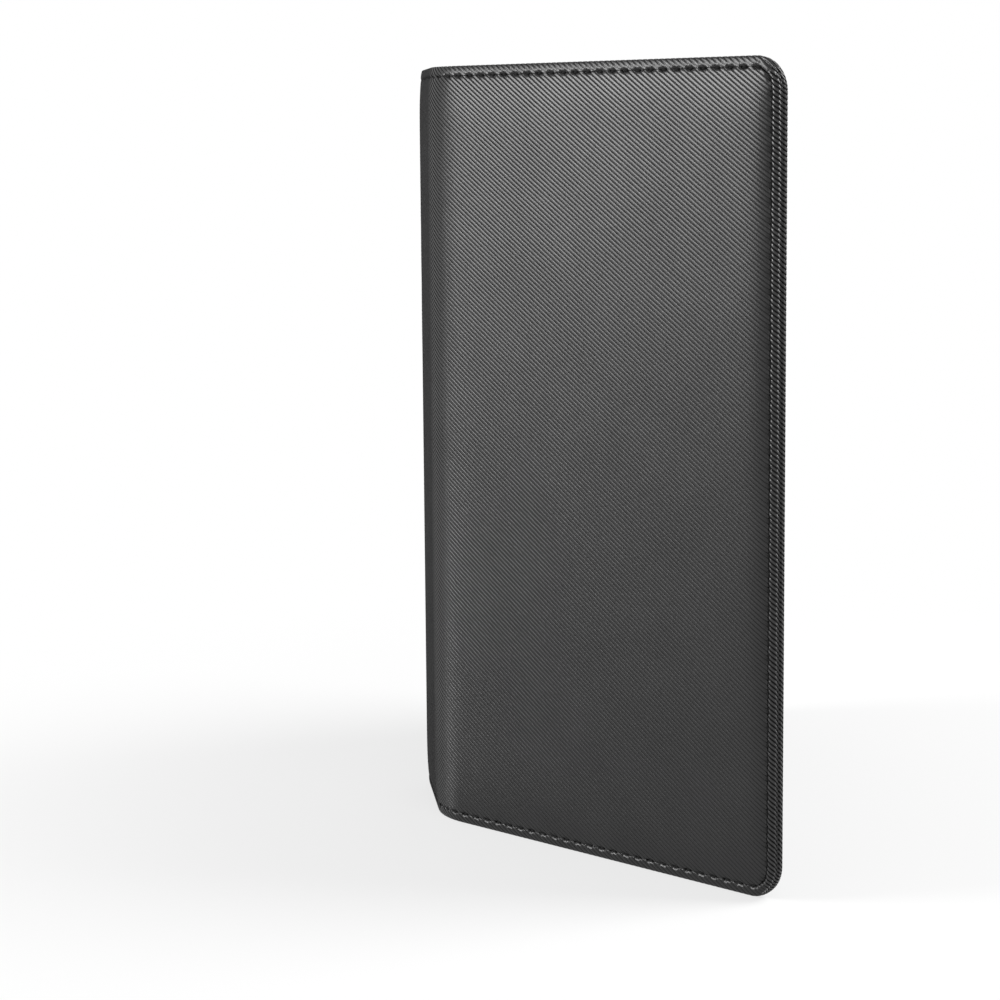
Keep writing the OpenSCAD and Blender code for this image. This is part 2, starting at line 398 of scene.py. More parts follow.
def ribbedFinish():
    # coated crests over bare, dark grooves
    f = newFinish("ribbed_coated_fabric")
    look = skinLook
    uv, u, z = clothRun(f)
    run = abs(u)
    across = abs((u * ribs["across"] + z * ribs["up"]).fract() * 2 - 1)  # 0 on a crest, 1 in a groove
    rib = 1 - across ** ribs["flatness"]
    weft = ((u * look["threadAcross"] + z * look["threadUp"]) * (2 * math.pi)).sine() * 0.5 + 0.5
    grain = f.noise(uv, look["grain"], 2.0)
    cloud = f.noise(uv, look["cloud"], 3.0)
    # colour goes from the groove colour to the crest colour across each rib: painted shade in the hollows;
    # weft, grain and cloud are the cloth's own tone
    shade = rib * 0.85 + weft * 0.04 + grain * 0.12 + cloud * 0.12 - 0.1
    colour = f.mix(shade, grey(look["groove"]), grey(look["crest"], look["tint"]))
    rough = look["roughness"] + (1 - rib) * 0.2 + (grain - 0.5) * 0.16 + (cloud - 0.5) * 0.08
    rim = f.ramp(run, seamFar - look["rimBlur"], seamFar + look["rimBlur"], soft=False)
    width = f.ramp(run, *look["crestRuns"], look["spineCrest"], look["faceCrest"])
    width = width + rim * (look["rimCrest"] - look["faceCrest"])
    onCrest = f.ramp(across, width - look["crestBlur"], width + look["crestBlur"], 1.0, 0.0)
    inGroove = f.ramp(run, *look["grooveRuns"], 0.0, look["grooveCoat"], soft=False) * (1 - rim)
    worn = f.ramp(run, *look["coatRuns"], look["spineCoat"], look["coat"])
    worn = worn + (grain - 0.5) * 0.05 + (cloud - 0.5) * 0.12 + rim * (look["rimCoat"] - look["coat"])
    coat = worn * (onCrest * (1 - inGroove) + inGroove)
    shine = {"Coat Weight": coat, "Coat Roughness": look["coatRoughness"]}
    return f.cloth(look, colour, rough, weft * 0.2 + grain * 0.6, shine)


panelLook = dict(
    low=0.006,
    high=0.03,
    roughness=0.4,
    specular=0.4,
    bump=0.8,
    bumpDepth=0.0002,
    cell=1.0,  # grain cells to the mm
    fine=300.0,
    cloud=6.0,
)


def grainFinish():
    f = newFinish("grained_panel")
    look = panelLook
    uv = clothRun(f)[0]
    kind = dict(voronoi_dimensions="2D", feature="SMOOTH_F1")
    sockets = {"Vector": uv, "Scale": look["cell"] * clothScale, "Smoothness": 0.35}
    cells = f.node("ShaderNodeTexVoronoi", kind, sockets)
    fine = f.noise(uv, look["fine"], 3.0)
    cloud = f.noise(uv, look["cloud"], 3.0)
    pebble = 1 - cells
    colour = f.mix(pebble * 0.7 + cloud * 0.4 - 0.1, grey(look["low"]), grey(look["high"]))
    rough = look["roughness"] + cells * 0.25 + (fine - 0.5) * 0.12 + (cloud - 0.5) * 0.1
    return f.cloth(look, colour, rough, pebble + fine * 0.25)


liningLook = dict(
    low=0.008,
    high=0.03,
    roughness=0.72,
    specular=0.3,
    sheen=0.15,
    bump=0.7,
    bumpDepth=0.00012,
    threads=1.3,  # pairs to the mm
    fine=260.0,
)


def wovenFinish():
    f = newFinish("woven_lining")
    look = liningLook
    uv, u, z = clothRun(f)
    turn = look["threads"] * 2 * math.pi
    over = (u * turn).sine() * (z * turn).sine() * 0.5 + 0.5
    fine = f.noise(uv, look["fine"], 2.0)
    colour = f.mix(over * 0.7 + fine * 0.3, grey(look["low"]), grey(look["high"]))
    rough = look["roughness"] + (fine - 0.5) * 0.2 - over * 0.08
    return f.cloth(look, colour, rough, over + fine * 0.3, {"Sheen Weight": look["sheen"]})


threadLook = dict(
    low=0.002,
    high=0.005,
    roughness=0.8,
    specular=0.2,
    bump=0.5,
    bumpDepth=0.00003,
    fibre=9000.0,
)


def threadFinish():
    f = newFinish("black_thread")
    look = threadLook
    spot = f.node("ShaderNodeTexCoord", out="Object")
    fibre = f.noise(spot, look["fibre"], 2.0, "3D")
    colour = f.mix(fibre, grey(look["low"]), grey(look["high"]))
    return f.cloth(look, colour, look["roughness"] + (fibre - 0.5) * 0.3, fibre)


ribbed, grained, woven, thread = ribbedFinish(), grainFinish(), wovenFinish(), threadFinish()
print("stage: finishes made")


# Padded skin: rings of points that follow the ribs across the face and return underneath
padded = dict(
    along=38,
    spineAlong=18,
    cluster=0.93,  # how far the points gather at the seam
    under=8,
    underBunch=1.7,  # how far those underneath gather on the bend
    lip=0.12,
    shortest=0.02,  # shorter rib lines are left out
)


def ribEnds(level, normal, low, high, corner):
    # the two ends of one rib line inside the stitch line, or None where it misses
    size = normal @ normal
    at = level * normal / size
    way = np.array([normal[1], -normal[0]]) / math.sqrt(size)
    first, last = -math.inf, math.inf
    for k in range(2):
        a, b = (low[k] - at[k]) / way[k], (high[k] - at[k]) / way[k]
        first, last = max(first, min(a, b)), min(last, max(a, b))
    if last - first < padded["shortest"]:
        return None
    ends = []
    for step, sign in ((first, -1), (last, 1)):
        p = at + way * step
        up = min(p[1] - low[1], high[1] - p[1])
        if corner and high[0] - p[0] < corner and up < corner:
            middleZ = low[1] + corner if p[1] < tall / 2 else high[1] - corner
            away = at - np.array([high[0] - corner, middleZ])
            half = away @ way
            square = half * half - (away @ away - corner * corner)
            if square <= 0:
                return None
            step = sign * math.sqrt(square) - half
        ends.append(step)
    if ends[1] - ends[0] < padded["shortest"]:
        return None
    return at + way * ends[0], at + way * ends[1]


def paddedSkin(name, side):
    low = np.array([splitAt if side else -splitAt, seam["edgeInset"]])
    high = np.array([seamFar if side else splitAt, tall - seam["edgeInset"]])
    corner = seam["corner"] if side else 0
    mirror = side or 1
    normal = ribNormal * np.array([mirror, 1])
    reach = [normal @ np.array([v, z]) for v in (low[0], high[0]) for z in (low[1], high[1])]
    levels = (np.arange(math.floor(min(reach)), math.ceil(max(reach)) + 1)[:, None] + ribPhases).ravel()
    lines = [(level, ribEnds(level, normal, low, high, corner)) for level in levels]
    lines = [line for line in lines if line[1] is not None]
    level = np.array([line[0] for line in lines])
    ends = np.array([line[1] for line in lines])
    near, far = ends[:, 0], ends[:, 1]
    share = np.linspace(0, 1, (padded["along"] if side else padded["spineAlong"]) + 1)
    share = share - padded["cluster"] * np.sin(2 * math.pi * share) / (2 * math.pi)
    spots = near[:, None] + (far - near)[:, None] * share[None, :, None]
    u, z = spots[..., 0] * mirror, spots[..., 1]
    height = padHeight(u, z) + ribHeight(u, ribs["height"]) * (ribProfile(level) - 1)[:, None]
    # underneath, from the far end back to the near one, tucked just past the stitch line
    steps = np.linspace(1, 0, padded["under"] + 2) ** padded["underBunch"]
    way = (far - near) / np.linalg.norm(far - near, axis=1)[:, None]
    atSeam = ends[:, :, 0] > low[0] + hair if side else np.abs(ends[:, :, 0]) < splitAt - hair
    lip = padded["lip"] * atSeam
    near, far = near - way * lip[:, :1], far + way * lip[:, 1:]
    below = near[:, None] + (far - near)[:, None] * steps[None, :, None]
    u = np.concatenate([u, below[..., 0] * mirror], 1)
    z = np.concatenate([z, below[..., 1]], 1)
    height = np.concatenate([height, np.full(below.shape[:2], -holder["skinDepth"])], 1)
    points = place(u, z, height)
    faces = turned(points, ringFaces(*u.shape))
    cut = np.abs(np.abs(u) - splitAt) < hair
    return addMesh(name, points, faces, ribbed, np.stack([u, z], -1), cut)


# Rolled edge: the skin folded round the board, and the inner edge folded against it
# each place is (share of the way in to the stitch line, height); the free edge shows both folds,
# and along top and bottom the skin closes over them
openFolds = [
    (1.06, -0.60), (1.0, -0.2), (0.95, -0.06), (0.87, 0.05), (0.76, 0.11), (0.65, 0.1), (0.54, 0.03),
    (0.45, -0.08), (0.37, -0.17), (0.3, -0.2), (0.23, -0.15), (0.16, -0.08), (0.09, -0.11), (0.06, -0.25),
    (0.15, -0.43), (0.14, -0.5), (0.06, -0.57), (0.01, -0.68), (0.0, -0.85), (0.02, -1.05), (0.04, -1.3),
]
closedFolds = [
    (1.06, -0.60), (1.0, 0.02), (0.92, 0.045), (0.8, 0.035), (0.66, 0.0), (0.52, -0.04), (0.4, -0.08),
    (0.31, -0.115), (0.23, -0.15), (0.15, -0.2), (0.09, -0.26), (0.05, -0.32), (0.03, -0.37), (0.02, -0.42),
    (0.01, -0.48), (0.01, -0.54), (0.0, -0.62), (0.0, -0.72), (0.0, -0.86), (0.02, -1.05), (0.04, -1.3),
]
turnedUnder = [
    (0.05, -1.5), (0.08, -1.7), (0.14, -1.9), (0.26, -2.04), (0.42, -2.1), (0.6, -2.1), (0.78, -2.1),
    (0.9, -2.06), (1.0, -1.95), (1.06, -1.75),
]
openSection, closedSection = np.array(openFolds + turnedUnder), np.array(closedFolds + turnedUnder)
roll = dict(
    stepAlong=0.13,
    stepUp=0.1,
    cornerSteps=80,
    openFrom=(0.2, 0.8),  # how far the rim faces the free side where the folds begin to show, and do
    pitHeights=(-1.3, -1.0),  # the stitches draw the cloth down above these heights
)


def edgePath():
    # matching places on the outer edge and on the stitch line, from the spine out, up and back
    outer, inner = holder["cornerRadius"], seam["corner"]
    low = seam["edgeInset"]
    flat = np.linspace(0, 1, int((freeEdge - outer - splitAt) / roll["stepAlong"]))
    bend = np.linspace(0, math.pi / 2, roll["cornerSteps"])[1:]
    half = np.linspace(0, 0.5, int((tall / 2 - outer) / roll["stepUp"]))[1:]
    edge = [np.stack([splitAt + (freeEdge - outer - splitAt) * flat, 0 * flat], 1)]
    line = [np.stack([splitAt + (seamRun - splitAt) * flat, 0 * flat + low], 1)]
    edge.append(np.stack([freeEdge - outer + outer * np.sin(bend), outer - outer * np.cos(bend)], 1))
    line.append(np.stack([seamRun + inner * np.sin(bend), low + inner - inner * np.cos(bend)], 1))
    edge.append(np.stack([0 * half + freeEdge, outer + (tall - 2 * outer) * half], 1))
    line.append(np.stack([0 * half + seamFar, low + inner + (tall - 2 * low - 2 * inner) * half], 1))
    edge, line = np.concatenate(edge), np.concatenate(line)
    upside = np.array([1, -1])
    edge = np.concatenate([edge, (edge * upside + [0, tall])[-2::-1]])
    line = np.concatenate([line, (line * upside + [0, tall])[-2::-1]])
    return edge, line


def rolledEdge(name, side, edge, line):
    mirror = side or 1
    gap = edge - line
    inset = np.linalg.norm(gap, axis=1)
    out = gap / inset[:, None]
    free = smoothStep(*roll["openFrom"], out[:, 0])[:, None, None] if side else 0
    section = closedSection * (1 - free) + openSection * free
    section = np.broadcast_to(section, (len(edge),) + section.shape[-2:])
    away = inset[:, None] * (1 - section[..., 0])  # outwards from the stitch line
    height = section[..., 1]
    step = np.hypot(np.diff(away, axis=1), np.diff(height, axis=1))
    arc = np.concatenate([0 * inset[:, None], np.cumsum(step, 1)], 1) - step[:, :1]
    cloth = line[:, None] + out[:, None] * arc[..., None]
    clothU, clothZ = cloth[..., 0] * mirror, cloth[..., 1]
    run = seamPlace(line[:, 0], line[:, 1])[1][:, None]
    dip = stitchDip(away, run) * smoothStep(*roll["pitHeights"], height)
    wave = ribProfile(ribs["across"] * clothU + ribs["up"] * clothZ) - 1
    wave = wave * ribHeight(clothU, ribs["rolledHeight"])
    along = np.gradient(away, axis=1)
    drop = np.gradient(height, axis=1)
    size = np.hypot(along, drop)
    away = away + wave * -drop / size
    height = height + wave * along / size + dip
    flat = line[:, None] + out[:, None] * away[..., None]
    u, z = flat[..., 0] * mirror, flat[..., 1]
    points = place(u, z, height)
    faces = turned(points, ringFaces(*u.shape))
    ends = np.zeros(u.shape, bool)
    ends[[0, -1]] = True
    return addMesh(name, points, faces, ribbed, np.stack([clothU, clothZ], -1), ends)


edgeLine, stitchLine = edgePath()
skins = {}
for name, side in coverSides:
    skins[name] = paddedSkin(name + "_padded_skin", side)
    skins[name + "Roll"] = rolledEdge(name + "_rolled_edge", side, edgeLine, stitchLine)
skins["spine"] = paddedSkin("spine_padded_skin", 0)
strip = np.linspace(-splitAt, splitAt, int(2 * splitAt / roll["stepAlong"]))
for name, rim, rowZ in (("Low", 0.0, seam["edgeInset"]), ("High", tall, tall - seam["edgeInset"])):
    skins["spineRoll" + name] = rolledEdge(
        "spine_rolled_edge_" + name.lower(),
        0,
        np.stack([strip, 0 * strip + rim], 1),
        np.stack([strip, 0 * strip + rowZ], 1),
    )
print("stage: ribbed skin made, %d faces" % sum(len(o.data.polygons) for o in skins.values()))


# Stitches: short twisted threads whose ends go down into the skin
stitch = dict(
    length=1.45,
    radius=0.27,
    taper=0.25,
    dive=0.6,
    square=3.5,  # the more, the flatter the top and the steeper the ends
    ply=0.13,  # swell of the two twisted yarns
    twist=2.4,  # their turn over half a stitch
    slant=7.0,
    around=8,
    along=8,
    sunk=0.37,
    sunkInside=0.17,
)


def stitches(name, u, z, heading, height, inside=False):
    t = np.linspace(-1, 1, stitch["along"] + 1)[:, None]
    theta = np.linspace(0, 2 * math.pi, stitch["around"], endpoint=False)
    ply = 1 + stitch["ply"] * np.cos(2 * (theta - stitch["twist"] * t))
    thick = stitch["radius"] * (1 - stitch["taper"] * t**2) * ply
    side = thick * np.cos(theta)
    lift = thick * np.sin(theta) - stitch["dive"] * np.abs(t) ** stitch["square"]
    along = t * stitch["length"] / 2 + 0 * theta
    u, z, heading, height = (part[:, None, None] for part in (u, z, heading, height))
    angle = heading + math.radians(stitch["slant"])
    flatU = u + np.sign(u) * (along * np.cos(angle) - side * np.sin(angle))
    flatZ = z + along * np.sin(angle) + side * np.cos(angle)
    points = place(flatU, flatZ, height + (-lift if inside else lift))
    one = ringFaces(*along.shape)
    faces = [[k * along.size + corner for corner in face] for k in range(len(u)) for face in one]
    return addMesh(name, points, turned(points, faces), thread)


seamSpots = np.stack(seamPoint((np.arange(stitchCount) + 0.5) * stitchPitch))  # v, z and heading
onCover = seamSpots[0] > splitAt
coverSpots, nearSpots = seamSpots[:, onCover], seamSpots[:, ~onCover]
spineSpots = np.concatenate([nearSpots, nearSpots * [[-1], [1], [1]]], 1)
sewn = {}
for name, side in allSides:
    spots = coverSpots * [[side], [1], [1]] if side else spineSpots
    sewn[name] = stitches(name + "_seam_thread", *spots, np.full(spots.shape[1], -stitch["sunk"]))
print("stage: seam sewn")

# Inside: thin closed sheets, each on the layer below; depth is how far in from the edge's outer face
inner = dict(inset=1.2, corner=5.0, gap=0.02, step=0.75, groove=0.05, press=0.17, pressWidth=0.5)
rimSteps = np.array([0, 0.03, 0.09, 0.18, 0.3, 0.45, 0.65, 0.9, 1.2, 1.6, 2.1, 2.7])


def spread(low, high):
    # places from low to high, close together at both ends
    reach = rimSteps[-1]
    count = max(2, round((high - low - 2 * reach) / inner["step"]))
    middle = np.linspace(low + reach, high - reach, count + 1)[1:-1]
    return np.concatenate([low + rimSteps, middle, (high - rimSteps)[::-1]])


def drawnIn(z, low, high, radius):
    # how far a rounded corner draws a side in
    away = np.clip(radius - np.minimum(z - low, high - z), 0, radius)
    return radius - np.sqrt(np.maximum(radius**2 - away**2, 0))


def rimGap(across, up, radius):
    # distance in from a rim with a rounded corner
    atCorner = (across < radius) & (up < radius)
    return np.where(atCorner, radius - np.hypot(radius - across, radius - up), np.minimum(across, up))


def pressed(turns, off):
    # hollows under a row of stitches, from stitches along it and mm off it
    press = 0.5 - 0.5 * np.cos(2 * math.pi * turns)
    return (inner["groove"] + inner["press"] * press) * np.exp(-((off / inner["pressWidth"]) ** 2))


def rowCount(row):
    # length of a straight row and the stitches in it
    (v0, z0), (v1, z1) = row
    length = math.hypot(v1 - v0, z1 - z0)
    return length, round(length / seam["pitch"])


def rowDip(v, z, row):
    (v0, z0), (v1, z1) = row
    length, count = rowCount(row)
    along = ((v - v0) * (v1 - v0) + (z - z0) * (z1 - z0)) / length
    off = ((v - v0) * (z1 - z0) - (z - z0) * (v1 - v0)) / length
    ends = smoothStep(-0.6, 0.3, np.minimum(along, length - along))
    return pressed(along * count / length, off) * ends


def seamDip(v, z):
    inside, run = seamPlace(v, z)
    return pressed(run / stitchPitch, inside)


def closedSheet(name, side, v, z, depth, thick, material):
    # rows of points across the top and back along the underside; they meet where thick is nothing
    u = v * side
    bothU = np.concatenate([u, u[:, ::-1]], 1)
    bothZ = np.concatenate([z, z[:, ::-1]], 1)
    bothDepth = np.concatenate([depth + thick / 2, (depth - thick / 2)[:, ::-1]], 1)
    points = place(bothU, bothZ, -bothDepth)
    faces = turned(points, ringFaces(*bothU.shape, capped=False))
    cut = np.abs(np.abs(bothU) - splitAt) < hair
    return addMesh(name, points, faces, material, np.stack([bothU, bothZ], -1), cut)


def rounded(thick, gap):
    # thickness that rounds off to nothing at the rim
    t = np.clip(gap / (thick / 2), 0, 1)
    return thick * np.sqrt(1 - (1 - t) ** 2)


lining = dict(
    depth=2.27,
    thick=0.3,
    wrinkle=0.13,
    wrinkleRun=2.3,
    wrinkleFrom=(8.0, 12.0),  # runs where the wrinkles of a bend begin, and where they end
    wrinkleTo=(26.0, 22.0),
    wrinkleRim=(0.5, 9.0),  # they fade out between these distances from the rim
    seamTo=6.0,  # past a bend the pockets hide the seam's hollows
    spineColumns=25,
)


def liningSheet(name, side):
    low, high = inner["inset"], tall - inner["inset"]
    rows = spread(low, high)[:, None]
    if side:
        far = freeEdge - inner["inset"]
        right = far - drawnIn(rows, low, high, inner["corner"])
        v = splitAt + spread(0, far - splitAt)[None, :] * (right - splitAt) / (far - splitAt)
    else:
        v = np.repeat(np.linspace(-splitAt, splitAt, lining["spineColumns"])[None, :], len(rows), 0)
    z = np.repeat(rows, v.shape[1], 1)
    up = np.minimum(z - low, high - z)
    gap = rimGap(far - v, up, inner["corner"]) if side else up
    run = np.abs(v)
    bend = smoothStep(*lining["wrinkleFrom"], run) * smoothStep(*lining["wrinkleTo"], run)
    bend = bend * smoothStep(*lining["wrinkleRim"], up)
    sway = 0.9 * np.sin(z / 17.0) + 0.5 * np.sin(z / 7.3 + side)
    ripple = np.cos(2 * math.pi * (run + sway) / lining["wrinkleRun"]) * (0.7 + 0.3 * np.sin(z / 11.0))
    depth = lining["depth"] + lining["wrinkle"] * bend * (0.5 + 0.5 * ripple)
    depth = depth - 0.5 * seamDip(run, z) * (run < coverStart + lining["seamTo"])
    return closedSheet(name, side or 1, v, z, depth, rounded(lining["thick"], gap), woven)


# Pocket panels: mouth is the open side; layer counts from the lining in
panels = dict(
    thick=0.6,
    cardThick=0.55,
    bead=0.1,
    beadRuns=(1.4, 1.1),  # the bead ends and is full at these distances from the mouth
    puff=(0.34, 0.578),  # of a tall panel on the lining, and of one on another panel
    puffReach=(0.5, 17.0),
    cardPuff=0.3,
    cardReach=14.0,
    mouthCorner=1.0,
)
pocket = dict(
    tallMouth=5.0,
    passportMouth=18.0,
    thumb=13.0,
    thumbHalf=14.5,
    thumbPower=1.15,
    cardStart=16.0,
    cardInset=4.0,
    cardMouths=(118.0, 105.0, 92.0),
    cardCorner=2.5,
    rowInset=2.0,
    rowEnd=3.2,  # of a tall panel's row from the cover's edge
    rowClear=1.5,  # and from the thumb cut
    cardRowEnd=2.6,  # of a card mouth's row from the side rows
    cardRowTop=0.8,  # of a side row from its own mouth
    cardRowFoot=1.0,  # and from the next mouth or row
)


def thumbCut(z):
    t = np.clip((z - tall / 2) / pocket["thumbHalf"], -1, 1)
    return pocket["thumb"] * np.cos(t * math.pi / 2) ** pocket["thumbPower"]


def tallDepth(v, z, layer):
    # middle of a full-height panel sewn on three sides
    low = inner["inset"]
    sewnGap = np.minimum(np.minimum(z - low, tall - low - z), freeEdge - low - v)
    base = lining["depth"] + lining["thick"] / 2
    base = base + panels["thick"] * (layer + 0.5) + inner["gap"] * (layer + 1)
    return base + panels["puff"][layer] * smoothStep(*panels["puffReach"], sewnGap) - seamDip(v, z)


def tallPanel(name, side, mouth, layer, notch=None):
    low, high = inner["inset"], tall - inner["inset"]
    start, far = coverStart + mouth, freeEdge - inner["inset"]
    rows = spread(low, high)[:, None]
    cut = notch(rows) if notch else 0 * rows
    left = start + drawnIn(rows, low, high, panels["mouthCorner"]) + cut
    right = far - drawnIn(rows, low, high, inner["corner"])
    v = left + spread(0, far - start)[None, :] * (right - left) / (far - start)
    z = np.repeat(rows, v.shape[1], 1)
    up = np.minimum(z - low, high - z)
    slope = np.gradient(cut[:, 0], rows[:, 0])[:, None]
    mouthGap = (v - start - cut) / np.sqrt(1 + slope**2)
    gap = np.minimum(rimGap(far - v, up, inner["corner"]), rimGap(mouthGap, up, panels["mouthCorner"]))
    bead = panels["bead"] * smoothStep(*panels["beadRuns"], mouthGap)
    depth = tallDepth(v, z, layer)
    for row in mouthRows[name]:
        depth = depth - rowDip(v, z, row)
    return closedSheet(name, side, v, z, depth, rounded(panels["thick"] + bead, gap), grained)


def cardBox(layer):
    inset = pocket["cardInset"]
    return coverStart + pocket["cardStart"], freeEdge - inset, inset, pocket["cardMouths"][layer]


def cardDepth(v, z, layer):
    left, right, low, high = cardBox(layer)
    sewnGap = np.minimum(np.minimum(v - left, right - v), z - low) - pocket["rowInset"]
    base = tallDepth(v, z, 0) + (panels["thick"] + panels["cardThick"]) / 2
    base = base + layer * panels["cardThick"] + (layer + 1) * inner["gap"]
    return base + (layer + 1) * panels["cardPuff"] * smoothStep(0, panels["cardReach"], sewnGap)


def cardPanel(name, layer):
    left, right, low, high = cardBox(layer)
    rows = spread(low, high)[:, None]
    corner = drawnIn(rows, low, math.inf, pocket["cardCorner"])
    corner = corner + drawnIn(rows, -math.inf, high, panels["mouthCorner"])
    v = left + corner + spread(0, right - left)[None, :] * (right - left - 2 * corner) / (right - left)
    z = np.repeat(rows, v.shape[1], 1)
    across = np.minimum(v - left, right - v)
    footGap = rimGap(across, z - low, pocket["cardCorner"])
    gap = np.minimum(footGap, rimGap(across, high - z, panels["mouthCorner"]))
    bead = panels["bead"] * smoothStep(*panels["beadRuns"], high - z)
    depth = cardDepth(v, z, layer)
    for row in cardRows[layer]:
        depth = depth - rowDip(v, z, row)
    return closedSheet(name, 1, v, z, depth, rounded(panels["cardThick"] + bead, gap), grained)


# Rows of pocket stitches, each from one (v, z) to another
rowIn, rowLow, rowHigh = pocket["rowInset"], pocket["rowEnd"], tall - pocket["rowEnd"]
tallRow = coverStart + pocket["tallMouth"] + rowIn
passportRow = coverStart + pocket["passportMouth"] + rowIn
thumbLow = tall / 2 - pocket["thumbHalf"] - pocket["rowClear"]
mouthRows = {
    "cash_pocket": [((tallRow, rowLow), (tallRow, rowHigh))],
    "ticket_pocket": [((tallRow, rowLow), (tallRow, rowHigh))],
    "passport_pocket": [
        ((passportRow, rowLow), (passportRow, thumbLow)),
        ((passportRow, tall - thumbLow), (passportRow, rowHigh)),
    ],
}
cardNear, cardFar = coverStart + pocket["cardStart"] + rowIn, freeEdge - pocket["cardInset"] - rowIn
cardFoot, cardEnd = pocket["cardInset"] + rowIn, pocket["cardRowEnd"]
cardRows = []
for mouth, nextMouth in zip(pocket["cardMouths"], pocket["cardMouths"][1:] + (None,)):
    # each side row is sewn through the layer that shows there, the nearest one to the foot
    foot = nextMouth + pocket["cardRowFoot"] if nextMouth else cardFoot
    rows = [((cardNear + cardEnd, mouth - rowIn), (cardFar - cardEnd, mouth - rowIn))]
    rows += [((x, foot), (x, mouth - pocket["cardRowTop"])) for x in (cardNear, cardFar)]
    cardRows.append(rows)
footStart, footStop = cardNear + pocket["cardRowFoot"], cardFar - pocket["cardRowFoot"]
cardRows[-1].append(((footStart, cardFoot), (footStop, cardFoot)))

lined = {name: liningSheet(name + "_inner_lining", side) for name, side in allSides}
pockets = {
    "cash_pocket_panel": tallPanel("cash_pocket", 1, pocket["tallMouth"], 0),
    "ticket_pocket_panel": tallPanel("ticket_pocket", -1, pocket["tallMouth"], 0),
    "passport_pocket_panel": tallPanel("passport_pocket", -1, pocket["passportMouth"], 1, thumbCut),
}
cardNames = ("rear", "middle", "near")
for layer, name in enumerate(cardNames):
    pockets["card_pocket_" + name] = cardPanel("card_slot_" + name, layer)


def rowStitches(rows):
    # places and headings of the stitches in straight rows
    found = []
    for row in rows:
        (v0, z0), (v1, z1) = row
        count = rowCount(row)[1]
        t = (np.arange(count) + 0.5) / count
        heading = np.full(count, math.atan2(z1 - z0, v1 - v0))
        found.append(np.stack([v0 + (v1 - v0) * t, z0 + (z1 - z0) * t, heading]))
    return np.concatenate(found, 1)


def sewInside(name, side, parts):
    # parts hold stitch places and the depth of the surface that they lie on
    v, z, heading = np.concatenate([spots for spots, _ in parts], 1)
    depth = np.concatenate([depth for _, depth in parts])
    return stitches(name, v * side, z, heading, stitch["sunkInside"] - depth, True)


def pocketPart(rows, depthAt, layer, thick):
    spots = rowStitches(rows)
    return spots, depthAt(spots[0], spots[1], layer) + thick / 2


def tallTop(v, z, layer):
    return tallDepth(v, z, layer) + seamDip(v, z) + panels["thick"] / 2


def seamDepth(v, z, side):
    # depth of the surface under the seam inside
    base = np.full(len(v), lining["depth"] + lining["thick"] / 2)
    base = np.where(v > coverStart + pocket["tallMouth"], tallTop(v, z, 0), base)
    if side < 0:
        base = np.where(v > coverStart + pocket["passportMouth"], tallTop(v, z, 1), base)
    return base


linedSeam = {}
for name, side in coverSides:
    part = (coverSpots, seamDepth(coverSpots[0], coverSpots[1], side))
    linedSeam[name] = sewInside(name + "_inner_thread", side, [part])
spineDepth = np.full(spineSpots.shape[1], lining["depth"] + lining["thick"] / 2)
linedSeam["spine"] = sewInside("spine_inner_thread", 1, [(spineSpots, spineDepth)])

tallPart = pocketPart(mouthRows["cash_pocket"], tallDepth, 0, panels["thick"])
passportPart = pocketPart(mouthRows["passport_pocket"], tallDepth, 1, panels["thick"])
cardParts = [pocketPart(rows, cardDepth, layer, panels["cardThick"]) for layer, rows in enumerate(cardRows)]
pocketSeam = {
    "front": sewInside("front_pocket_thread", 1, [tallPart] + cardParts),
    "back": sewInside("back_pocket_thread", -1, [tallPart, passportPart]),
}
print("stage: lining and pockets made")

# Bodies: the soft pieces are baked in place as they lie; pocket panels and pocket threads are attached to
# their cover's body
spineMeet = 5.0  # run either side of the spine's middle that the folds table gives for the spine's two halves
folds = {
    1: ("front_cover", "spine_front", spotAt(coverStart), spotAt(holder["spineHalf"])),
    -1: ("back_cover", "spine_back", spotAt(-coverStart), spotAt(-holder["spineHalf"])),
    0: ("spine_front", "spine_back", spotAt(spineMeet), spotAt(-spineMeet)),
}


def fold(obj):
    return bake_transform(obj)


for name, side in allSides:
    fold(skins[name])
    fold(sewn[name])
for key, side in (("frontRoll", 1), ("backRoll", -1), ("spineRollLow", 0), ("spineRollHigh", 0)):
    fold(skins[key])
for side in ("front", "back"):
    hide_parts(side + "_outer_skin", side + "_foam_pad", side + "_board")
    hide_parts(side + "_bend_skin", side + "_bend_backing")
    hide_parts(side + "_edge_stitches", side + "_bend_stitches")
    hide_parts(side + "_lining", side + "_bend_lining")
    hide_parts(side + "_pocket_stitches")
    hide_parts("spine_" + side + "_skin", "spine_" + side + "_backing")
    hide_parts("spine_" + side + "_stitches")
    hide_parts("spine_" + side + "_lining")
    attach(pocketSeam[side], side + "_cover")
for name, side in allSides:
    fold(lined[name])
    fold(linedSeam[name])
    wide = freeEdge - inner["inset"] - splitAt if side else 2 * splitAt
    cloth = (wide * mm, (tall - 2 * inner["inset"]) * mm)
for node, panel in pockets.items():
    cover = "back" if node.startswith(("ticket", "passport")) else "front"
    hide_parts(node)
    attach(panel, cover + "_cover")
    if node.startswith("card"):
        left, right, low, high = cardBox(cardNames.index(node.split("_")[-1]))
    else:
        left = coverStart + (pocket["passportMouth"] if node.startswith("passport") else pocket["tallMouth"])
        right, low, high = freeEdge - inner["inset"], inner["inset"], tall - inner["inset"]
    (right - left) * mm
    (high - low) * mm
print("stage: pieces joined to their bodies")

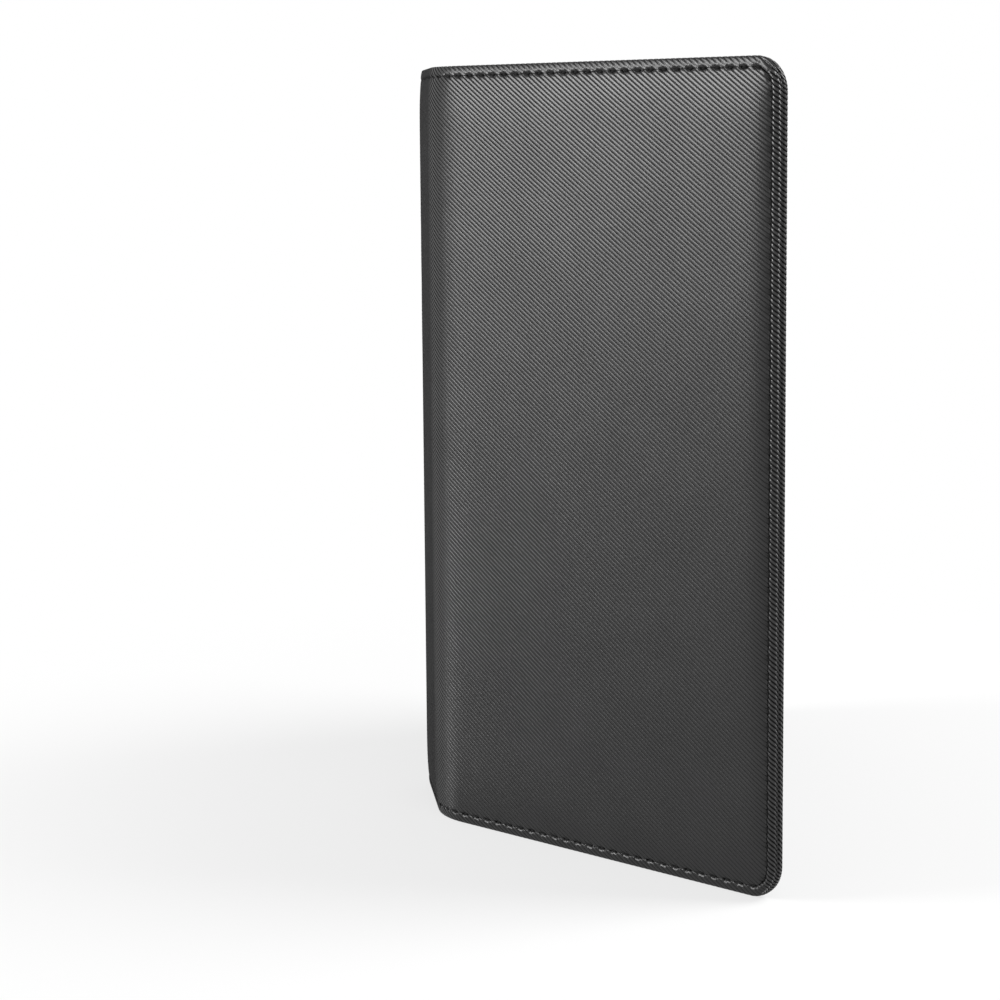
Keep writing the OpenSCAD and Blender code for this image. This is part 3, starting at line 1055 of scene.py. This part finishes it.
# Studio: camera as the photograph stands, pale floor, soft lamps
view = dict(
    lens=94.7,
    sensor=36.0,
    nearest=0.01,
    at=(334.234, -397.205, 131.753),
    turn=45.076,
    tilt=82.145,
    roll=-0.45,
)
camera = bpy.data.objects.new("camera", bpy.data.cameras.new("camera"))
camera.data.lens = view["lens"]
camera.data.sensor_width = view["sensor"]
camera.data.clip_start = view["nearest"]
camera.matrix_world = (
    Matrix.Translation([x * mm for x in view["at"]])
    @ Matrix.Rotation(math.radians(view["turn"]), 4, "Z")
    @ Matrix.Rotation(math.radians(view["tilt"]), 4, "X")
    @ Matrix.Rotation(math.radians(view["roll"]), 4, "Z")
)
scene.collection.objects.link(camera)
scene.camera = camera

studio = dict(
    floorSize=6.0,
    floorColour=0.8,
    floorLift=0.65,  # share of plain white near the holder; further off the floor is all white
    fadeRuns=(0.09, 0.24),
    skyLight=0.45,
    aim=(0.0, -0.045, 0.075),
    lamps=[
        # name, azimuth from the front (- to the spine's side), elevation, distance, size, watts
        ("key", -36, 16, 0.8, 0.3, 4.05),
        ("side", -44, 10, 0.8, 0.3, 1.85),
        ("fill", 60, 40, 0.8, 0.5, 0.5),
        ("rear", 140, 40, 0.9, 0.5, 8.0),
    ],
)


def floorFinish():
    f = newFinish("pale_floor")
    plain = f.node("ShaderNodeBsdfDiffuse", None, {"Color": grey(studio["floorColour"])})
    spot = f.node("ShaderNodeTexCoord", out="Object")
    away = f.node("ShaderNodeVectorMath", dict(operation="LENGTH"), {0: spot}, "Value")
    share = f.ramp(away, *studio["fadeRuns"], studio["floorLift"]) * f.seen()
    white = f.node("ShaderNodeEmission", None, {"Color": grey(1.0), "Strength": 1.0})
    return f.surface(f.node("ShaderNodeMixShader", None, {0: share, 1: plain, 2: white}))


half = studio["floorSize"] / 2
floorPoints = np.array([[-half, -half, 0], [half, -half, 0], [half, half, 0], [-half, half, 0]])
floor = addMesh("floor", floorPoints, [[0, 1, 2, 3]], floorFinish(), smooth=False)

scene.world = bpy.data.worlds.new("studio")
sky = Finish(scene.world)
dim = sky.node("ShaderNodeBackground", None, {"Color": grey(1.0), "Strength": studio["skyLight"]})
white = sky.node("ShaderNodeBackground", None, {"Color": grey(1.0), "Strength": 1.0})
shown = sky.node("ShaderNodeMixShader", None, {0: sky.seen(), 1: dim, 2: white})
sky.surface(shown, "ShaderNodeOutputWorld")

for name, azimuth, elevation, distance, size, watts in studio["lamps"]:
    lamp = bpy.data.lights.new(name, "AREA")
    lamp.shape, lamp.size, lamp.energy = "SQUARE", size, watts
    obj = bpy.data.objects.new(name, lamp)
    turn, up = math.radians(azimuth), math.radians(elevation)
    way = Vector((math.sin(turn) * math.cos(up), -math.cos(turn) * math.cos(up), math.sin(up)))
    obj.location = Vector(studio["aim"]) + way * distance
    obj.rotation_mode = "QUATERNION"
    obj.rotation_quaternion = way.to_track_quat("Z", "Y")
    obj.visible_camera = False
    scene.collection.objects.link(obj)
print("stage: studio lit")
